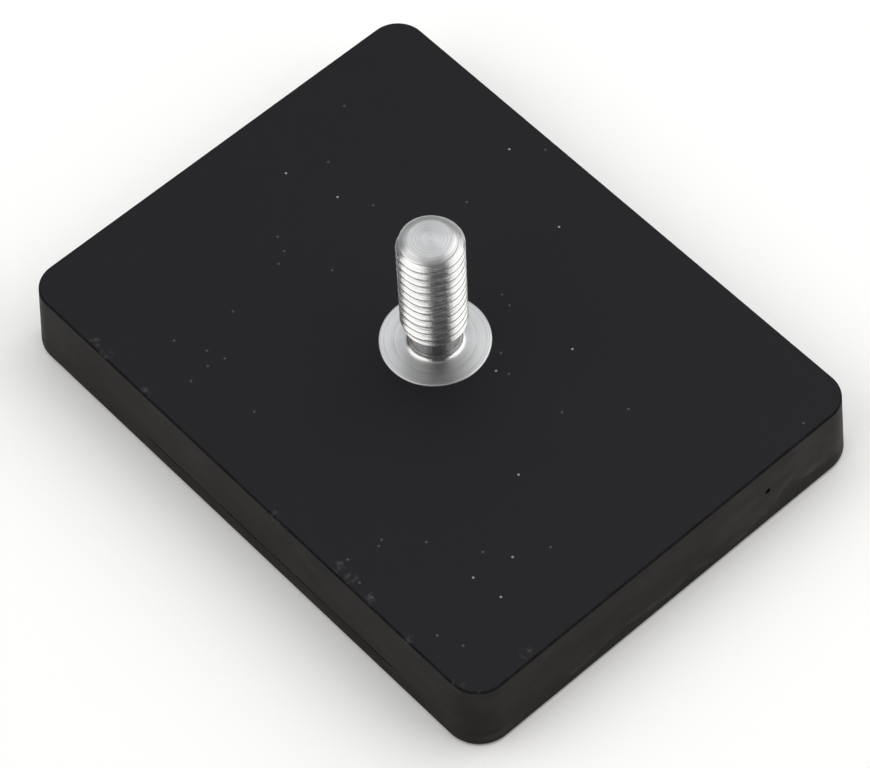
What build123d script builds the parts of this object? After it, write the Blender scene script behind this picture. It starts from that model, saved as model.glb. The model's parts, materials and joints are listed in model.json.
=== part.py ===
"""Rubber-jacketed pot magnet with a threaded stud, in millimetres.

A steel back plate carries a field of block magnets on its underside and a flanged stud that is
riveted through its middle. A rubber jacket is moulded round the plate and the magnets and leaves
only the stud and the face of its flange bare.

The origin is the middle of the magnet face. +X runs along the long side and +Z along the stud.
"""
import math
import os

from build123d import *

# Rubber jacket: outline at the magnet face, and the walls that lean in from there to the back.
base_length = 60.0
base_width = 45.8
wall_draft = 4.0
base_corner_radius = 3.4
base_edge_radius = 0.45
rim_edge_radius = 0.25

# Layers, from the magnet face up.
face_skin = 0.8
magnet_height = 3.0
plate_thickness = 2.5
back_skin = 1.7

# Steel back plate, and the rubber left between its edge and the rim of the jacket.
side_wall = 2.0
plate_corner_radius = 3.0

# Block magnets, which fill the plate's underside.
magnet_columns = 4
magnet_rows = 3
magnet_gap = 1.5
magnet_margin = 1.2
magnet_edge_break = 0.25

# Stud, with a metric thread M6 x 1 that is shown at its major diameter.
thread_diameter = 6.0
stud_length = 15.0
undercut_depth = 0.8
undercut_length = 2.2
undercut_fillet = 0.6
runout_angle = 30.0
end_flat_diameter = 3.8
end_chamfer_length = 0.95
flange_diameter = 10.0
flange_proud = 0.1
flange_edge_break = 0.1

# Riveted spigot under the flange.
spigot_diameter = 5.0
rivet_head_diameter = 7.0
countersink_angle = 90.0

# Locating-pin hole that the mould leaves in a short wall.
pin_hole_diameter = 0.6
pin_hole_along_wall = 11.6
pin_hole_above_plate = 0.8

# Heights of the layers.
magnet_z = face_skin
plate_z = magnet_z + magnet_height
plate_top_z = plate_z + plate_thickness
back_z = plate_top_z + back_skin
flange_z = back_z + flange_proud
stud_end_z = flange_z + stud_length


def wall_lean(height):
    """How far the jacket's wall has leaned in at a height above the magnet face."""
    return height * math.tan(math.radians(wall_draft))


def magnet_side(plate_side, count):
    """Side of a block when a row of them, with its gaps and margins, spans the plate."""
    return (plate_side - 2 * magnet_margin - (count - 1) * magnet_gap) / count


rim_length = base_length - 2 * wall_lean(back_z)
rim_width = base_width - 2 * wall_lean(back_z)
plate_length = rim_length - 2 * side_wall
plate_width = rim_width - 2 * side_wall
magnet_length = magnet_side(plate_length, magnet_columns)
magnet_width = magnet_side(plate_width, magnet_rows)
thread_radius = thread_diameter / 2
neck_radius = thread_radius - undercut_depth
spigot_radius = spigot_diameter / 2
rivet_head_radius = rivet_head_diameter / 2
countersink_depth = (rivet_head_radius - spigot_radius) / math.tan(math.radians(countersink_angle / 2))
runout_length = undercut_depth / math.tan(math.radians(runout_angle))


def clear_of_rivet(place):
    """Whether a magnet at this place leaves room for the rivet's head."""
    nearest_x = max(abs(place.X) - magnet_length / 2, 0)
    nearest_y = max(abs(place.Y) - magnet_width / 2, 0)
    return math.hypot(nearest_x, nearest_y) > rivet_head_radius + magnet_gap


def magnet_places():
    """Centres of the blocks: an even field on the plate, less those over the rivet's head."""
    field = GridLocations(
        magnet_length + magnet_gap, magnet_width + magnet_gap, magnet_columns, magnet_rows
    )
    return [spot.position for spot in field if clear_of_rivet(spot.position)]


def magnet_block(place):
    """One nickel-plated block that stands on the rubber face skin and touches the plate."""
    with BuildPart() as block:
        with BuildSketch(Plane.XY.offset(magnet_z)):
            with Locations((place.X, place.Y)):
                Rectangle(magnet_length, magnet_width)
        extrude(amount=magnet_height)
        chamfer(block.edges(), length=magnet_edge_break)
    return block.part


os.makedirs("parts", exist_ok=True)

# Steel back plate, countersunk from its underside for the riveted spigot.
with BuildPart() as steel_plate:
    with BuildSketch(Plane.XY.offset(plate_z)):
        RectangleRounded(plate_length, plate_width, plate_corner_radius)
    extrude(amount=plate_thickness)
    with Locations(Plane(origin=(0, 0, plate_z), z_dir=(0, 0, -1))):
        CounterSinkHole(
            spigot_radius, rivet_head_radius, depth=plate_thickness, counter_sink_angle=countersink_angle
        )

# Threaded stud, turned in one piece and then riveted over at its lower end.
with BuildPart() as threaded_stud:
    with BuildSketch(Plane.XZ) as turned_profile:
        with BuildLine():
            Polyline(
                (0, plate_z),
                (rivet_head_radius, plate_z),
                (spigot_radius, plate_z + countersink_depth),
                (spigot_radius, plate_top_z),
                (flange_diameter / 2, plate_top_z),
                (flange_diameter / 2, flange_z - flange_edge_break),
                (flange_diameter / 2 - flange_edge_break, flange_z),
                (neck_radius, flange_z),
                (neck_radius, flange_z + undercut_length),
                (thread_radius, flange_z + undercut_length + runout_length),
                (thread_radius, stud_end_z - end_chamfer_length),
                (end_flat_diameter / 2, stud_end_z),
                (0, stud_end_z),
                close=True,
            )
        make_face()
        neck_foot = turned_profile.vertices().sort_by_distance((neck_radius, flange_z))[0]
        fillet(neck_foot, radius=undercut_fillet)
    revolve(axis=Axis.Z)

magnets = [magnet_block(place) for place in magnet_places()]

# Rubber jacket, moulded round the inserts.
with BuildPart() as rubber_jacket:
    with BuildSketch(Plane.XY):
        RectangleRounded(base_length, base_width, base_corner_radius)
    extrude(amount=back_z, taper=wall_draft)
    fillet(rubber_jacket.faces().sort_by(Axis.Z)[0].edges(), radius=base_edge_radius)
    fillet(rubber_jacket.faces().sort_by(Axis.Z)[-1].edges(), radius=rim_edge_radius)
    for insert in (steel_plate.part, threaded_stud.part, *magnets):
        add(insert, mode=Mode.SUBTRACT)
    with BuildSketch(Plane.YZ.offset(plate_length / 2)):
        with Locations((pin_hole_along_wall, plate_z + pin_hole_above_plate)):
            Circle(pin_hole_diameter / 2)
    extrude(amount=base_length / 2 - plate_length / 2, mode=Mode.SUBTRACT)

for name, piece in (
    ("rubber_jacket", rubber_jacket.part),
    ("steel_plate", steel_plate.part),
    ("threaded_stud", threaded_stud.part),
):
    piece.label = name
    export_step(piece, f"parts/{name}.step")

for number, piece in enumerate(magnets, start=1):
    piece.label = f"magnet_{number:02d}"
    export_step(piece, f"parts/{piece.label}.step")
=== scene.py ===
import json
import math

import bpy
from mathutils import Matrix, Vector

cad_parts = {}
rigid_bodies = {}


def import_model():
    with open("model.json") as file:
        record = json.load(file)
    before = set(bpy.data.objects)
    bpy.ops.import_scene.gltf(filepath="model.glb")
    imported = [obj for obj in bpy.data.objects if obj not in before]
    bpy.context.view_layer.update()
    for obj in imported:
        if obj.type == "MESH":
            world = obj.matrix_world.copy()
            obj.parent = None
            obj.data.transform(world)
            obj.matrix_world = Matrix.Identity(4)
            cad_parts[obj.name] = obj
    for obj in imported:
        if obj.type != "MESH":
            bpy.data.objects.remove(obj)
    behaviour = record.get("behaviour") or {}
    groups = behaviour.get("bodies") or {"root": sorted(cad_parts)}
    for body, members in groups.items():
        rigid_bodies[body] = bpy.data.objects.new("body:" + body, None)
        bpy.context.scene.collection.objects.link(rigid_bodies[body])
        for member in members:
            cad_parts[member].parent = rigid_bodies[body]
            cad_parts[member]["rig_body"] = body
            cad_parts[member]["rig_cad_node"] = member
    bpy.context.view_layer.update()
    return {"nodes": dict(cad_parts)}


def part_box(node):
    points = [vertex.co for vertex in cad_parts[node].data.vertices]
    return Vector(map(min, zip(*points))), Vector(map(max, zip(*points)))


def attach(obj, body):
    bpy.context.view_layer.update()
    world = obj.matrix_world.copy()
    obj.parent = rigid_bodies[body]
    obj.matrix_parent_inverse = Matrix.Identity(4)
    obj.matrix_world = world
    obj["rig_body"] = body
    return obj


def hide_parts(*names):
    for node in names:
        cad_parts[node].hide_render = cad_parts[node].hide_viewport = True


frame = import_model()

MM = 0.001


def solid_box(node):
    """The lowest and the highest corner of a CAD solid, in millimetres, to a thousandth."""
    return [[round(value / MM, 3) for value in corner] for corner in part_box(node)]


plate_node = "steel_plate"
magnet_nodes = sorted(node for node in frame["nodes"] if node.startswith("magnet_"))
jacket_low, jacket_high = solid_box("rubber_jacket")
plate_high = solid_box(plate_node)[1]
stud_low, stud_high = solid_box("threaded_stud")

# The jacket, in millimetres. Its length and width are those of the magnet face, before the edge
# is broken.
base_length = 60.0
base_width = 45.8
base_corner_radius = 3.4
base_edge_radius = 0.45
rim_edge_radius = 0.25
wall_draft = math.radians(4.0)
base_z = jacket_low[2]
back_z = jacket_high[2]
pin_hole_radius = 0.3
pin_hole_place = (11.6, 4.6)

# The line that the mould left on the walls, and the stretch of one long wall where it is open.
parting_z = 2.05
parting_width = 0.22
parting_depth = 0.02
parting_step_depth = 0.08
parting_step_reach = (-13.0, 19.0)
parting_step_margin = 0.3

# The stud, from its rivet head up.
rivet_z = stud_low[2]
plate_top_z = plate_high[2]
rivet_head_radius = 3.5
spigot_radius = 2.5
flange_z = 8.1
flange_radius = stud_high[0]
flange_edge_round = 0.12
neck_radius = 2.2
neck_fillet = 0.6
neck_length = 1.9
neck_top_z = flange_z + neck_length
runout_length = 1.386
thread_radius = 3.0
thread_pitch = 1.0
end_flat_radius = 1.93
end_chamfer_length = 0.82
stud_end_z = stud_high[2]

# Distances that are taken as none, in millimetres.
merge_distance = 0.0005
fine_merge_distance = 0.0001
same_height = 0.001
fit_tolerance = 0.01


# ---------------------------------------------------------------- modelling by hand

def clear_selection():
    """Leaves nothing selected and no object being edited."""
    if bpy.context.object and bpy.context.object.mode != "OBJECT":
        bpy.ops.object.mode_set(mode="OBJECT")
    bpy.ops.object.select_all(action="DESELECT")


def make_active(piece):
    clear_selection()
    piece.select_set(True)
    bpy.context.view_layer.objects.active = piece


def edit(piece, kind="VERT"):
    """Opens a piece for editing with nothing in it selected."""
    make_active(piece)
    bpy.ops.object.mode_set(mode="EDIT")
    bpy.ops.mesh.select_mode(type=kind)
    bpy.ops.mesh.select_all(action="DESELECT")


def leave_edit():
    bpy.ops.object.mode_set(mode="OBJECT")


def select(piece, part, wanted):
    """Selects the vertices, edges or faces of an edited piece for which wanted(element) is true."""
    leave_edit()
    mesh = piece.data
    for group in (mesh.vertices, mesh.edges, mesh.polygons):
        group.foreach_set("select", [False] * len(group))
    for element in getattr(mesh, part):
        element.select = bool(wanted(element))
    bpy.ops.object.mode_set(mode="EDIT")


def edge_ends(piece, edge):
    return [piece.data.vertices[index].co for index in edge.vertices]


def select_edges_at(piece, height):
    """Selects the edges of an edited piece whose middles lie at a height."""
    def at_height(edge):
        start, end = edge_ends(piece, edge)
        return abs((start.z + end.z) / 2 - height * MM) < same_height * MM
    select(piece, "edges", at_height)


def close_mesh(piece):
    """Merges doubles, then turns every face outwards."""
    edit(piece)
    bpy.ops.mesh.select_all(action="SELECT")
    bpy.ops.mesh.remove_doubles(threshold=merge_distance * MM)
    bpy.ops.mesh.normals_make_consistent(inside=False)
    leave_edit()


def apply_place(piece):
    """Puts a piece's place into its mesh, so that its object sits at the origin."""
    make_active(piece)
    bpy.ops.object.transform_apply(location=True, rotation=True, scale=True)


def finish_surface(piece, sharp_angle):
    """Shades a piece smooth up to an angle in degrees, with its large flat faces kept flat."""
    make_active(piece)
    bpy.ops.object.shade_smooth_by_angle(angle=math.radians(sharp_angle))
    weigh = piece.modifiers.new("even_shading", "WEIGHTED_NORMAL")
    weigh.keep_sharp = True
    weigh.weight = 100
    bpy.ops.object.modifier_apply(modifier=weigh.name)


def cut(piece, tool):
    """Cuts a tool's shape out of a piece, and throws the tool away."""
    make_active(piece)
    knife = piece.modifiers.new("cut", "BOOLEAN")
    knife.operation = "DIFFERENCE"
    knife.solver = "EXACT"
    knife.object = tool
    bpy.ops.object.modifier_apply(modifier=knife.name)
    bpy.data.objects.remove(tool)


def arc(centre, radius, start, end, steps):
    """Points of an arc in a lathe profile, from one angle in degrees to another."""
    points = []
    for step in range(steps + 1):
        angle = math.radians(start + (end - start) * step / steps)
        points.append((centre[0] + radius * math.cos(angle), centre[1] + radius * math.sin(angle)))
    return points


def draw_profile(name, points, closed=False):
    """A chain of edges through (radius, height) points, drawn vertex by vertex beside the axis."""
    clear_selection()
    start = Vector((points[0][0], 0, points[0][1])) * MM
    bpy.ops.mesh.primitive_plane_add(size=MM, location=start)
    piece = bpy.context.object
    piece.name = name
    apply_place(piece)
    edit(piece)
    bpy.ops.mesh.select_all(action="SELECT")
    bpy.ops.mesh.merge(type="CENTER")
    for here, there in zip(points, points[1:]):
        step = Vector((there[0] - here[0], 0, there[1] - here[1])) * MM
        bpy.ops.mesh.extrude_region_move(TRANSFORM_OT_translate={"value": step})
    if closed:
        bpy.ops.mesh.select_all(action="SELECT")
        bpy.ops.mesh.edge_face_add()
    leave_edit()
    return piece


def turn(name, points, steps):
    """A closed solid turned on the stud's axis from a profile that starts and ends on it."""
    piece = draw_profile(name, points)
    edit(piece)
    bpy.ops.mesh.select_all(action="SELECT")
    bpy.ops.mesh.spin(steps=steps, angle=math.tau, center=(0, 0, 0), axis=(0, 0, 1))
    close_mesh(piece)
    return piece


# ---------------------------------------------------------------- threaded stud

turning_steps = 128
stud_sharp_angle = 25.0

flange_edge_steps = 4
flange_ring_radii = (4.7, 4.45, 4.2, 3.95, 3.7, 3.45, 3.2)
flange_ring_depth = 0.01
neck_fillet_steps = 8
end_chamfer_steps = 6
end_chamfer_crown = 0.09
end_ring_radii = (1.86, 1.6, 1.36, 1.12, 0.88, 0.64, 0.4, 0.2)
end_ring_depth = 0.02
end_dome_height = 0.07

# The thread's groove, whose depth and whose width between the crests are shares of the pitch.
thread_root_radius = thread_radius - 0.6134 * thread_pitch
groove_width = 7 / 8 * thread_pitch
thread_start_angle = math.radians(116)
flank_angle = math.radians(30)
cutter_reach = 0.02

# The groove's rounded root and crests. Their points go outwards and along the stud by shares of
# the rounding, except that the root's first point lies at a share of the root's half width.
root_round = 0.1
root_start = (0.15, 0.6)
root_end = (0.6, 0.35)
crest_round = 0.09
crest_curve = ((0.5, 0.34), (0.83, 0.68))
crest_end = 1.13
groove_mouth = 1.2


def end_face_rings():
    """Shallow turned rings on the slightly domed end face, from its edge to the middle."""
    points = []
    for number, radius in enumerate(end_ring_radii):
        fall = end_dome_height * (radius / end_flat_radius) ** 2
        points.append((radius, stud_end_z - fall - end_ring_depth * (number % 2)))
    return points


def flange_rings():
    """Finer turned rings on the face of the flange, from its edge inwards."""
    return [
        (radius, flange_z - flange_ring_depth * (number % 2))
        for number, radius in enumerate(flange_ring_radii)
    ]


def end_chamfer():
    """The slightly crowned chamfer, from the crest of the thread to the end face."""
    low = stud_end_z - end_chamfer_length
    top = stud_end_z - end_dome_height
    points = []
    for step in range(1, end_chamfer_steps):
        share = step / end_chamfer_steps
        crown = end_chamfer_crown * math.sin(math.pi * share)
        radius = thread_radius + (end_flat_radius - thread_radius) * share + crown
        points.append((radius, low + (top - low) * share + crown))
    return [(thread_radius, low), *points, (end_flat_radius, top)]


def stud_profile():
    """Half section of the stud before its thread is cut, from the rivet head up to the end face."""
    countersink = rivet_head_radius - spigot_radius
    flange_edge = (flange_radius - flange_edge_round, flange_z - flange_edge_round)
    neck_foot = (neck_radius + neck_fillet, flange_z + neck_fillet)
    return [
        (0, rivet_z),
        (rivet_head_radius, rivet_z),
        (spigot_radius, rivet_z + countersink),
        (spigot_radius, plate_top_z),
        (flange_radius, plate_top_z),
        *arc(flange_edge, flange_edge_round, 0, 90, flange_edge_steps),
        *flange_rings(),
        *arc(neck_foot, neck_fillet, 270, 180, neck_fillet_steps),
        (neck_radius, neck_top_z),
        (thread_radius, neck_top_z + runout_length),
        *end_chamfer(),
        *end_face_rings(),
        (0, stud_end_z),
    ]


def groove_half_section():
    """The upper half of the groove's section, from its rounded root out past the rounded crest."""
    flank_slope = math.tan(flank_angle)
    root_half = groove_width / 2 - (thread_radius - thread_root_radius) * flank_slope
    flank_top = thread_radius - crest_round
    flank_top_half = root_half + (flank_top - thread_root_radius) * flank_slope
    crest = [
        (flank_top + crest_round * outwards, flank_top_half + crest_round * along)
        for outwards, along in crest_curve
    ]
    return [
        (thread_root_radius, 0.0),
        (thread_root_radius + root_round * root_start[0], root_half * root_start[1]),
        (thread_root_radius + root_round * root_end[0], root_half + root_round * root_end[1]),
        (flank_top, flank_top_half),
        *crest,
        (thread_radius, flank_top_half + crest_round * crest_end),
        (thread_radius + cutter_reach, flank_top_half + crest_round * groove_mouth),
    ]


def close_cutter_ends(cutter):
    """Joins the turns of a swept cutter, and fills its two open ends."""
    edit(cutter)
    bpy.ops.mesh.select_all(action="SELECT")
    bpy.ops.mesh.remove_doubles(threshold=fine_merge_distance * MM)
    bpy.ops.mesh.select_all(action="DESELECT")
    bpy.ops.mesh.select_non_manifold()
    bpy.ops.mesh.fill_holes(sides=0)
    bpy.ops.mesh.select_all(action="SELECT")
    bpy.ops.mesh.normals_make_consistent(inside=False)
    leave_edit()


def thread_cutter():
    """The helical groove of a right-hand thread, as a solid to cut away."""
    upper = groove_half_section()
    lower = [(radius, -height) for radius, height in reversed(upper[1:])]
    section = [(radius, neck_top_z + height) for radius, height in lower + upper]
    cutter = draw_profile("thread_cutter", section, closed=True)
    sweep = cutter.modifiers.new("sweep", "SCREW")
    sweep.axis = "Z"
    sweep.angle = math.tau
    sweep.screw_offset = thread_pitch * MM
    sweep.iterations = math.ceil((stud_end_z - neck_top_z) / thread_pitch) + 1
    sweep.steps = sweep.render_steps = turning_steps
    sweep.use_merge_vertices = True
    sweep.merge_threshold = fine_merge_distance * MM
    make_active(cutter)
    bpy.ops.object.modifier_apply(modifier=sweep.name)
    close_cutter_ends(cutter)
    cutter.rotation_euler.z = thread_start_angle
    apply_place(cutter)
    return cutter


def make_stud():
    """The stud with its undercut, its cut thread, and its turned flange and end face."""
    stud = turn("stud_turned", stud_profile(), turning_steps)
    cut(stud, thread_cutter())
    close_mesh(stud)
    finish_surface(stud, stud_sharp_angle)
    return stud


# ---------------------------------------------------------------- rubber jacket

corner_steps = 20
wall_steps = 40
edge_round_steps = 6
pin_hole_steps = 32
jacket_sharp_angle = 40.0
cutter_overrun = 1.0


def lean(height):
    """How far the wall has leaned in at a height above the magnet face."""
    return height * math.tan(wall_draft)


def draw_outline(name):
    """A flat face in the outline of the magnet face: rounded corners, and walls in even steps."""
    clear_selection()
    bpy.ops.mesh.primitive_plane_add(size=MM, location=(0, 0, base_z * MM))
    outline = bpy.context.object
    outline.name = name
    outline.scale = (base_length, base_width, 1)
    apply_place(outline)
    edit(outline)
    bpy.ops.mesh.select_all(action="SELECT")
    bpy.ops.mesh.bevel(
        offset=base_corner_radius * MM, segments=corner_steps, affect="VERTICES", offset_type="OFFSET"
    )
    bpy.ops.mesh.select_mode(type="EDGE")

    def is_wall(edge):
        start, end = edge_ends(outline, edge)
        return (start - end).length > base_corner_radius * MM
    select(outline, "edges", is_wall)
    bpy.ops.mesh.subdivide(number_cuts=wall_steps - 1)
    leave_edit()
    return outline


def round_edge(jacket, height, radius, sharper):
    """Rounds the edge at a height, which is sharper than a square one by an angle, or blunter."""
    edit(jacket, "EDGE")
    select_edges_at(jacket, height)
    offset = radius * math.tan((math.pi / 2 + sharper) / 2)
    bpy.ops.mesh.bevel(offset=offset * MM, segments=edge_round_steps, affect="EDGES", profile=0.5)
    leave_edit()


def make_jacket_shell():
    """The moulded block: rounded outline, drafted walls, broken edges."""
    jacket = draw_outline("jacket_moulded")
    edit(jacket, "FACE")
    bpy.ops.mesh.select_all(action="SELECT")
    bpy.ops.mesh.inset(thickness=lean(back_z) * MM, depth=back_z * MM, use_even_offset=True)
    leave_edit()
    edit(jacket, "EDGE")
    select_edges_at(jacket, base_z)
    bpy.ops.mesh.edge_face_add()
    leave_edit()
    close_mesh(jacket)
    round_edge(jacket, back_z, rim_edge_radius, -wall_draft)
    round_edge(jacket, base_z, base_edge_radius, wall_draft)
    return jacket


def press_parting_line(jacket, depth, wanted):
    """Presses the parting line in by a depth, at the vertices whose places are wanted."""
    edit(jacket)
    select(jacket, "vertices", lambda vertex: (
        abs(vertex.co.z - parting_z * MM) < parting_width / 4 * MM and wanted(vertex.co)
    ))
    bpy.ops.transform.shrink_fatten(value=-depth * MM)
    leave_edit()


def cut_parting_line(jacket):
    """A fine line round the walls where the mould halves met, and open along part of one wall."""
    for height in (parting_z - parting_width / 2, parting_z, parting_z + parting_width / 2):
        edit(jacket, "FACE")
        bpy.ops.mesh.select_all(action="SELECT")
        bpy.ops.mesh.bisect(plane_co=(0, 0, height * MM), plane_no=(0, 0, 1))
        leave_edit()
    start, end = parting_step_reach
    wall_y = -(base_width / 2 - lean(parting_z)) + parting_step_margin
    press_parting_line(jacket, parting_depth, lambda place: True)
    press_parting_line(jacket, parting_step_depth, lambda place: (
        place.y < wall_y * MM and start * MM < place.x < end * MM
    ))


def merged_copy(node):
    """A copy of a CAD solid with its loose triangles joined, which is no CAD node itself."""
    make_active(frame["nodes"][node])
    bpy.ops.object.duplicate()
    copy = bpy.context.object
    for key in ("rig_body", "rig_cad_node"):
        if key in copy:
            del copy[key]
    copy.parent = None
    close_mesh(copy)
    return copy


def close_rivet_hole(plate):
    """Fills the countersunk hole of a copy of the plate, since no rubber runs into it."""
    edit(plate, "FACE")
    hole = rivet_head_radius + fit_tolerance
    select(plate, "polygons", lambda face: all(
        plate.data.vertices[index].co.xy.length < hole * MM for index in face.vertices
    ))
    bpy.ops.mesh.delete(type="FACE")
    bpy.ops.mesh.select_mode(type="EDGE")
    bpy.ops.mesh.select_non_manifold()
    bpy.ops.mesh.fill_holes(sides=0)
    leave_edit()
    close_mesh(plate)


def round_cutter(radius, start, end, steps, turned=(0, 0, 0)):
    """A plain cylinder between two points, in millimetres, to cut a hole with."""
    clear_selection()
    start, end = Vector(start), Vector(end)
    bpy.ops.mesh.primitive_cylinder_add(
        vertices=steps, radius=radius * MM, depth=(end - start).length * MM,
        location=(start + end) / 2 * MM, rotation=turned,
    )
    cutter = bpy.context.object
    apply_place(cutter)
    return cutter


def flange_cutter():
    """Clears the flange's hole, from inside the plate's pocket to past the back."""
    start = (0, 0, plate_top_z - cutter_overrun)
    end = (0, 0, back_z + cutter_overrun)
    return round_cutter(flange_radius, start, end, turning_steps)


def pin_hole_cutter():
    """Clears the locating pin's hole, from inside the plate's pocket to past the short wall."""
    start = (plate_high[0] - cutter_overrun, *pin_hole_place)
    end = (base_length / 2 + cutter_overrun, *pin_hole_place)
    return round_cutter(pin_hole_radius, start, end, pin_hole_steps, turned=(0, math.pi / 2, 0))


def make_jacket():
    """The jacket with the pockets that its inserts fill, the flange's hole and the pin hole."""
    jacket = make_jacket_shell()
    cut_parting_line(jacket)
    for node in magnet_nodes:
        cut(jacket, merged_copy(node))
    plate = merged_copy(plate_node)
    close_rivet_hole(plate)
    cut(jacket, plate)
    cut(jacket, flange_cutter())
    cut(jacket, pin_hole_cutter())
    close_mesh(jacket)
    finish_surface(jacket, jacket_sharp_angle)
    return jacket


# ---------------------------------------------------------------- materials

class Wire:
    """A value that changes over a surface: sums on it become Math nodes."""

    def __init__(self, finish, socket):
        self.finish = finish
        self.socket = socket

    def __add__(self, other):
        return self.finish.maths("ADD", self, other)

    def __sub__(self, other):
        return self.finish.maths("SUBTRACT", self, other)

    def __rsub__(self, other):
        return self.finish.maths("SUBTRACT", other, self)

    def __mul__(self, other):
        return self.finish.maths("MULTIPLY", self, other)

    def __truediv__(self, other):
        return self.finish.maths("DIVIDE", self, other)

    def __rtruediv__(self, other):
        return self.finish.maths("DIVIDE", other, self)

    __radd__ = __add__
    __rmul__ = __mul__


class Finish:
    """One material, with its shader and the shader's values that are the same all over."""

    def __init__(self, name, **values):
        self.material = bpy.data.materials.new(name)
        self.material.use_nodes = True
        self.nodes = self.material.node_tree.nodes
        self.links = self.material.node_tree.links
        self.shader = self.nodes["Principled BSDF"]
        for socket, value in values.items():
            self.shader.inputs[socket.replace("_", " ")].default_value = value
        self.place = self.node("ShaderNodeTexCoord", output="Object")
        apart = self.node("ShaderNodeSeparateXYZ", inputs={"Vector": self.place}, output=None)
        self.x, self.y, self.z = (Wire(self, apart.outputs[axis]) for axis in "XYZ")

    def node(self, kind, settings=None, inputs=None, output=0):
        """Adds a node, sets it, joins its inputs, and gives the wire of one output."""
        made = self.nodes.new(kind)
        for name, value in (settings or {}).items():
            if name == "points":
                self.draw_curve(made.mapping, value)
            else:
                setattr(made, name, value)
        for name, value in (inputs or {}).items():
            if isinstance(value, Wire):
                self.links.new(value.socket, made.inputs[name])
            else:
                made.inputs[name].default_value = value
        return made if output is None else Wire(self, made.outputs[output])

    @staticmethod
    def draw_curve(mapping, points):
        """Gives a curve node these points, from left to right, between 0 and 1."""
        curve = mapping.curves[0]
        curve.points[0].location = points[0]
        curve.points[1].location = points[-1]
        for x, y in points[1:-1]:
            curve.points.new(x, y)
        mapping.update()

    def maths(self, operation, first, second):
        return self.node("ShaderNodeMath", {"operation": operation}, {0: first, 1: second})

    def limit(self, value):
        """Keeps a value between 0 and 1."""
        return self.maths("MINIMUM", self.maths("MAXIMUM", value, 0.0), 1.0)

    def ramp(self, value, low, high):
        """A smooth step from 0 to 1, while the value goes from one number to another."""
        return self.node(
            "ShaderNodeMapRange", {"interpolation_type": "SMOOTHSTEP"},
            {"Value": value, "From Min": low, "From Max": high}, output="Result",
        )

    def fade(self, distance, start, end):
        """A smooth step from 0 to 1 over a stretch that is given in millimetres."""
        return self.ramp(distance, start * MM, end * MM)

    def noise(self, size, detail, where=None, stretch=(1, 1, 1)):
        """Soft noise from 0 to 1, with features of about this size in millimetres."""
        mapped = self.node(
            "ShaderNodeMapping", {"vector_type": "POINT"},
            {"Vector": where or self.place, "Scale": stretch}, output="Vector",
        )
        return self.node(
            "ShaderNodeTexNoise", {"noise_dimensions": "3D"},
            {"Vector": mapped, "Scale": 1 / (size * MM), "Detail": detail},
        )

    def blend(self, share, first, second):
        """A colour between two, by a share from 0 to 1."""
        first, second = (
            colour if isinstance(colour, Wire) else (*colour, 1) for colour in (first, second)
        )
        return self.node(
            "ShaderNodeMix", {"data_type": "RGBA"}, {0: share, 6: first, 7: second}, output=2
        )

    def feed(self, name, value):
        """Joins a value that changes over the surface to a socket of the shader."""
        self.links.new(value.socket, self.shader.inputs[name])

    def bump(self, height, depth, strength):
        """Small relief, given as a height from 0 to 1 and the depth of that height in millimetres."""
        relief = self.node(
            "ShaderNodeBump", inputs={"Height": height, "Distance": depth * MM, "Strength": strength},
            output="Normal",
        )
        self.feed("Normal", relief)


# Dust on the back of the jacket, in millimetres: bright specks and faint ones.
bright_specks = (
    (9.0, 8.0), (15.3, -4.3), (-10.8, 18.9), (20.2, -14.1), (23.2, -13.7), (-1.4, 16.2),
    (-22.7, 2.5), (21.0, -10.3), (-17.5, 4.1), (6.1, 1.6),
)
faint_specks = (
    (5.0, 3.2), (-21.0, 6.1), (-8.5, 21.2), (7.1, 2.2), (22.3, -20.1), (-24.8, 11.4),
    (-11.6, -16.3), (12.4, -17.8), (-16.3, -3.3), (16.9, 7.2), (0.5, 7.5), (1.8, 7.2),
    (-9.1, 12.1), (-14.6, 5.8), (14.0, -21.4), (-11.8, -1.6), (28.3, 17.1), (13.2, 2.8),
    (22.5, -7.3), (-17.9, -2.7), (14.9, -14.6), (-15.6, -4.6), (15.8, -21.6),
    (-12.9, -15.3), (-11.2, -14.7), (-11.4, -18.4), (-15.7, -16.7), (-14.5, -10.9), (-5.2, -16.5),
    (12.1, -17.2), (18.9, -11.8), (24.5, -19.2), (11.6, -20.6),
)
bright_speck_radius = 0.11
faint_speck_radius = 0.12

# Middles of the scuffed patches along the rim.
scuff_places = (
    (-20.4, -22.0), (-18.7, -21.9), (-13.2, -21.9), (3.9, -22.4), (4.4, -22.6), (11.6, -21.6),
    (13.2, -21.6), (15.9, -21.7), (20.8, -22.2), (27.0, -22.1), (28.9, -21.6), (28.6, -15.9),
)
scuff_radius = 0.6

# A spot fades out between these shares of its radius.
spot_edge = (1.3, 0.6)

# Height of the flash ridge along the short wall, in relief with a painted highlight, as (place along
# the wall, height), and the stretches over which it fades, measured up from that line.
ridge_line = (
    (-22.0, 0.9), (-12.0, 1.2), (-5.4, 1.8), (-2.6, 1.4), (-0.2, 1.2), (2.2, 1.75), (4.6, 1.1),
    (7.0, 0.9), (10.3, 1.6), (12.5, 2.1), (14.4, 3.5), (15.9, 2.4), (22.0, 1.6),
)
ridge_waver = 0.5
ridge_foot_fade = (-0.15, 0.15)
ridge_top_fade = (1.1, 0.15)
under_ridge_fade = (0.1, -0.3)

# Where the rubber's finish and its painted shade change: heights at the rim, and places along the part
# and the wall.
wall_fade = (back_z - 0.4, back_z - 0.15)
rim_line_foot_fade = (back_z - 0.3, back_z - 0.2)
rim_line_top_fade = (back_z - 0.001, back_z - 0.03)
short_wall_fade = (base_length / 2 - 1.6, base_length / 2 - 1.1)
wall_dust_fade = (3.0, 11.0)

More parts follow.
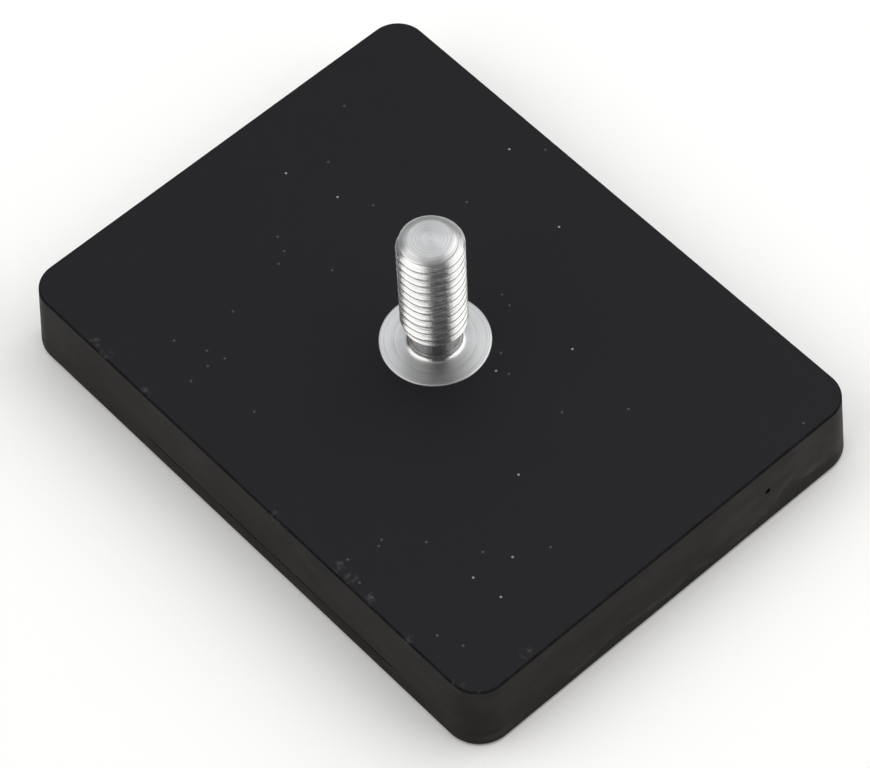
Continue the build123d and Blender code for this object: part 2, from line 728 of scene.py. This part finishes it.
back_tones = ((0.0082, 0.0073, 0.0095), (0.0104, 0.0094, 0.0120))
wall_tones = ((0.0036, 0.0021, 0.0015), (0.0120, 0.0084, 0.0065))
wall_dust_tone = (0.09, 0.08, 0.07)
# Painted shade: the dark line along the rim's rounded edge.
rim_painted_shade_tone = (0.002, 0.002, 0.002)
# Painted highlight along the ridge.
ridge_painted_highlight_tone = (0.09, 0.082, 0.074)
# Painted shade below the ridge.
under_ridge_painted_shade_tone = (0.003, 0.0026, 0.0022)
scuff_tone = (0.14, 0.14, 0.14)
faint_speck_tone = (0.22, 0.22, 0.24)
bright_speck_tone = (0.30, 0.30, 0.31)


def spots(finish, places, radius):
    """Where the spots of one kind lie on the back, from 0 to 1."""
    found = None
    for x, y in places:
        away = finish.node(
            "ShaderNodeVectorMath", {"operation": "DISTANCE"},
            {0: finish.place, 1: (x * MM, y * MM, back_z * MM)}, output="Value",
        )
        spot = finish.fade(away, radius * spot_edge[0], radius * spot_edge[1])
        found = spot if found is None else finish.maths("MAXIMUM", found, spot)
    return found


def above_ridge_line(finish):
    """How far a point lies above the ridge's wavering line."""
    curve = [((y + base_width / 2) / base_width, z / back_z) for y, z in ridge_line]
    along = finish.y / (base_width * MM) + 0.5
    line = finish.node("ShaderNodeFloatCurve", {"points": curve}, {"Value": along}) * (back_z * MM)
    waver = (finish.noise(size=0.8, detail=3.0) - 0.5) * (ridge_waver * MM)
    return finish.z - line - waver


def rim_line(finish):
    """The line on the rim's rounded edge, from 0 to 1, where shade is painted and the rubber is
    rougher.
    """
    return finish.fade(finish.z, *rim_line_foot_fade) * finish.fade(finish.z, *rim_line_top_fade)


def rubber_finish():
    """Satin black rubber: violet black on the back, browner and scuffed on the walls, with painted
    shade on the rim's edge and under the ridge, and a painted highlight along the ridge.
    """
    finish = Finish("moulded_black_rubber", Specular_IOR_Level=0.16)
    grain = finish.noise(size=0.25, detail=3.0)
    cloud = finish.noise(size=6.0, detail=3.0)
    smear = finish.ramp(finish.noise(size=2.2, detail=4.0, stretch=(0.5, 0.5, 1.2)), 0.3, 0.7)

    wall = 1 - finish.fade(finish.z, *wall_fade)
    short_wall = finish.fade(finish.x, *short_wall_fade) * wall
    wall_dust = short_wall * finish.fade(finish.y, *wall_dust_fade) * (0.04 + smear * 0.1)
    rim = rim_line(finish)
    # Painted shade along the rim's edge, broken up by noise.
    rim_shade_breakup = finish.ramp(finish.noise(size=1.1, detail=3.0), 0.35, 0.6)
    rim_painted_shade = rim * (0.25 + rim_shade_breakup * 0.55)

    above_ridge = above_ridge_line(finish)
    # Painted shade: the short wall darker below the ridge line.
    under_ridge = finish.fade(above_ridge, *under_ridge_fade) * short_wall
    # Painted highlight: a light band along the ridge line; the same band raises the ridge in the bump.
    ridge = finish.fade(above_ridge, *ridge_foot_fade) * finish.fade(above_ridge, *ridge_top_fade)
    ridge = ridge * short_wall * finish.ramp(finish.noise(size=2.5, detail=2.0), 0.36, 0.6)

    scratches = finish.ramp(finish.noise(size=0.45, detail=2.0), 0.45, 0.75)
    scuffs = spots(finish, scuff_places, scuff_radius) * scratches
    faint_dust = spots(finish, faint_specks, faint_speck_radius)
    bright_dust = spots(finish, bright_specks, bright_speck_radius)

    tone = finish.blend(wall, finish.blend(cloud, *back_tones), finish.blend(smear, *wall_tones))
    for share, colour in (
        (wall_dust, wall_dust_tone),
        (rim_painted_shade, rim_painted_shade_tone),
        (under_ridge * 0.6, under_ridge_painted_shade_tone),
        (ridge * 0.22, ridge_painted_highlight_tone),
        (scuffs * 0.25, scuff_tone),
        (faint_dust * 0.25, faint_speck_tone),
        (bright_dust * 0.9, bright_speck_tone),
    ):
        tone = finish.blend(share, tone, colour)
    finish.feed("Base Color", tone)
    finish.feed("Roughness", finish.limit(0.42 + cloud * 0.12 + grain * 0.1 + wall * 0.06 + rim * 0.3))
    finish.bump(grain * 0.5 + cloud * 0.3 + ridge * 0.8 + wall * smear * 0.6, depth=0.02, strength=0.5)
    return finish.material


# Where the steel's finish and the painted shade on its undercut change along the stud, as heights in
# millimetres.
above_flange_fade = (flange_z + 0.01, flange_z + 0.08)
undercut_foot_fade = (flange_z + 0.4, flange_z + 0.7)
undercut_top_fade = (neck_top_z + 1.6, neck_top_z - 0.3)
stud_end_fade = (stud_end_z - end_chamfer_length, stud_end_z - end_chamfer_length / 2)

steel_tones = ((0.55, 0.56, 0.57), (0.72, 0.72, 0.71))
ring_tone = (0.34, 0.35, 0.36)
# Painted shade for the undercut.
undercut_painted_shade_tone = (0.09, 0.09, 0.1)


def stud_finish():
    """Turned steel: rings on the flat faces, a smoother thread, and painted shade darkening the
    undercut.
    """
    finish = Finish("turned_stud_steel", Metallic=1.0, Anisotropic=0.6, Anisotropic_Rotation=0.25)
    radius = finish.maths("SQRT", finish.x * finish.x + finish.y * finish.y, 0.0)
    lathe_line = finish.node("ShaderNodeCombineXYZ", inputs={"X": radius, "Z": finish.z})
    rings = finish.noise(size=0.16, detail=4.0, where=lathe_line)
    grain = finish.noise(size=0.16, detail=3.0, stretch=(1, 1, 0.35))
    cloud = finish.noise(size=1.6, detail=3.0)

    above_flange = finish.fade(finish.z, *above_flange_fade)
    threaded = finish.limit(above_flange - finish.fade(finish.z, *stud_end_fade))
    # Painted shade: the undercut darkened in streaks above the flange.
    undercut = finish.fade(finish.z, *undercut_foot_fade) * finish.fade(finish.z, *undercut_top_fade)
    ring_shade = finish.ramp(rings, 0.42, 0.6) * (1 - threaded * 0.7) * finish.ramp(cloud, 0.2, 0.7)

    tone = finish.blend(cloud, *steel_tones)
    tone = finish.blend(ring_shade * 0.6, tone, ring_tone)
    tone = finish.blend(undercut * (0.2 + grain * 0.75), tone, undercut_painted_shade_tone)
    finish.feed("Base Color", tone)
    finish.feed("Roughness", finish.limit(0.33 - threaded * 0.12 + rings * 0.06 + cloud * 0.05))
    finish.bump(rings * 0.9 + grain * 0.35 * threaded, depth=0.03, strength=0.9)
    return finish.material


plate_tones = ((0.36, 0.36, 0.37), (0.5, 0.5, 0.5))
nickel_tones = ((0.62, 0.6, 0.55), (0.7, 0.68, 0.63))


def plate_finish():
    """Rolled steel with cloudy scale, and fine lines along the plate."""
    finish = Finish("rolled_plate_steel", Metallic=1.0)
    scale = finish.noise(size=3.0, detail=4.0)
    lines = finish.noise(size=0.3, detail=2.0, stretch=(0.04, 1, 1))
    finish.feed("Base Color", finish.blend(scale, *plate_tones))
    finish.feed("Roughness", finish.limit(0.35 + scale * 0.2 + lines * 0.1))
    finish.bump(lines, depth=0.004, strength=0.5)
    return finish.material


def nickel_finish():
    """Bright, faintly pitted nickel plating."""
    finish = Finish("nickel_plated_magnet", Metallic=1.0)
    cloud = finish.noise(size=2.0, detail=3.0)
    pits = finish.noise(size=0.2, detail=2.0)
    finish.feed("Base Color", finish.blend(cloud, *nickel_tones))
    finish.feed("Roughness", finish.limit(0.14 + cloud * 0.1 + pits * 0.06))
    finish.bump(pits, depth=0.003, strength=0.4)
    return finish.material


def paint(piece, material):
    """Gives a piece one material, in the slots that it has or in a new one."""
    if piece.material_slots:
        for slot in piece.material_slots:
            slot.material = material
    else:
        piece.data.materials.append(material)


# ---------------------------------------------------------------- stage

# The floor's size, and the sizes and distances of the lights, are in metres.
floor_size = 3.0
floor_tone = (0.96, 0.96, 0.96, 1)
room_light = 0.06

camera_place = Vector((159.441, -133.338, 309.025)) * MM
camera_aim = Vector((-0.687, 0.274, 0.0)) * MM
camera_roll = math.radians(-3.04)
camera_lens = 172.942
camera_sensor = 36.0

warm_tint = (1.0, 0.985, 0.95)
pale_warm_tint = (1.0, 0.985, 0.96)
cool_tint = (0.97, 0.985, 1.0)


def make_floor():
    clear_selection()
    bpy.ops.mesh.primitive_plane_add(size=floor_size, location=(0, 0, 0))
    floor = bpy.context.object
    floor.name = "floor"
    finish = Finish("pale_floor", Base_Color=floor_tone, Roughness=0.9, Specular_IOR_Level=0.1)
    paint(floor, finish.material)


def make_camera():
    data = bpy.data.cameras.new("camera")
    data.lens = camera_lens
    data.sensor_width = camera_sensor
    data.sensor_fit = "HORIZONTAL"
    camera = bpy.data.objects.new("camera", data)
    bpy.context.scene.collection.objects.link(camera)
    level = (camera_aim - camera_place).to_track_quat("-Z", "Y").to_matrix()
    turned = level @ Matrix.Rotation(camera_roll, 3, "Z")
    camera.matrix_world = Matrix.Translation(camera_place) @ turned.to_4x4()
    bpy.context.scene.camera = camera


def make_light(name, bearing, elevation, distance, size, radiance, tint=(1, 1, 1)):
    """A soft box that faces the origin, its bearing counted from the camera's side, to its left."""
    width, height = size
    toward_camera = math.atan2(camera_place.y, camera_place.x)
    angle = toward_camera - math.radians(bearing)
    rise = math.radians(elevation)
    place = Vector((math.cos(angle) * math.cos(rise), math.sin(angle) * math.cos(rise), math.sin(rise)))
    data = bpy.data.lights.new(name, "AREA")
    data.shape = "RECTANGLE"
    data.size = width
    data.size_y = height
    data.energy = radiance * math.pi * width * height
    data.color = tint
    light = bpy.data.objects.new(name, data)
    light.location = place * distance
    light.rotation_euler = (-place).to_track_quat("-Z", "Y").to_euler()
    light.visible_camera = False
    bpy.context.scene.collection.objects.link(light)
    return light


def make_studio():
    """Soft boxes round the stud and over it, and a lamp that the steel doesn't mirror."""
    make_light(
        "left_softbox", bearing=72, elevation=46, distance=0.6, size=(0.72, 0.44),
        radiance=1.75, tint=warm_tint,
    )
    make_light(
        "right_softbox", bearing=-96, elevation=42, distance=0.6, size=(0.82, 0.46),
        radiance=1.8, tint=pale_warm_tint,
    )
    make_light(
        "back_softbox", bearing=180, elevation=42, distance=0.7, size=(1.2, 0.4),
        radiance=0.7, tint=cool_tint,
    )
    make_light(
        "high_back_softbox", bearing=180, elevation=70, distance=0.7, size=(0.8, 0.36),
        radiance=1.1, tint=cool_tint,
    )
    make_light("top_softbox", bearing=0, elevation=84, distance=0.7, size=(0.26, 0.26), radiance=0.9)
    floor_lamp = make_light(
        "floor_lamp", bearing=0, elevation=89, distance=0.9, size=(0.9, 0.9), radiance=0.68
    )
    floor_lamp.visible_glossy = False


def make_room():
    """Faint even light from all round, and colours shown as they are."""
    world = bpy.data.worlds.new("studio")
    world.use_nodes = True
    world.node_tree.nodes["Background"].inputs["Color"].default_value = (1, 1, 1, 1)
    world.node_tree.nodes["Background"].inputs["Strength"].default_value = room_light
    bpy.context.scene.world = world
    bpy.context.scene.view_settings.view_transform = "Standard"


# ---------------------------------------------------------------- assembly

stud = make_stud()
jacket = make_jacket()

paint(stud, stud_finish())
paint(jacket, rubber_finish())
paint(frame["nodes"][plate_node], plate_finish())
nickel = nickel_finish()
for node in magnet_nodes:
    paint(frame["nodes"][node], nickel)

for piece, node, slot in ((stud, "threaded_stud", "stud_steel"), (jacket, "rubber_jacket", "rubber")):
    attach(piece, "root")
    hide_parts(node)

make_floor()
make_camera()
make_studio()
make_room()
